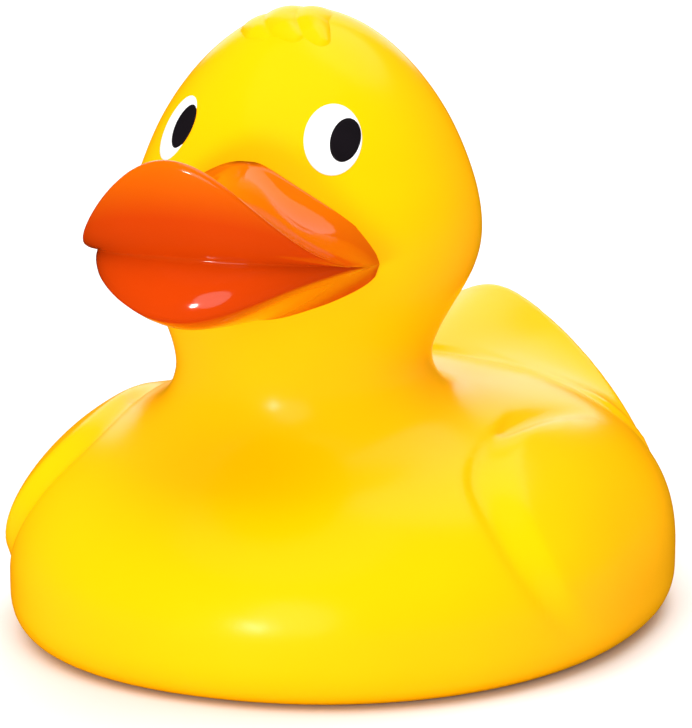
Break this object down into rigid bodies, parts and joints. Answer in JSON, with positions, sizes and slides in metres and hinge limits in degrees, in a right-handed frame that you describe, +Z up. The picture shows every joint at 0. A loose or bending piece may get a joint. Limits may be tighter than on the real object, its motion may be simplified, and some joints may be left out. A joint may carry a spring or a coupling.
{
  "type": "squeaking bath duck toy",
  "caption": "Hollow soft vinyl bath duck with a wide open-topped bill, wing pads, an upturned wedge tail, a tuft on the crown and a squeaker set in its flat base.",
  "frame": {"origin": "on the ground, under the middle of the duck's bounding box", "axes": "+X to the duck's left, +Y to its tail, +Z up; it faces -Y"},
  "size_m": [0.1, 0.1304, 0.0961],
  "materials": {
    "vinyl_yellow": "satin moulded vinyl, saturated yellow",
    "bill_orange": "gloss orange-red paint on the bill",
    "eye_white": "white paint",
    "eye_black": "black paint",
    "squeaker_plastic": "moulded off-white plastic",
    "reed_film": "thin translucent plastic film"
  },
  "bodies": {
    "root": {"duck_body": "vinyl_yellow", "squeaker_housing": "squeaker_plastic", "squeaker_reed": "reed_film"}
  },
  "joints": []
}
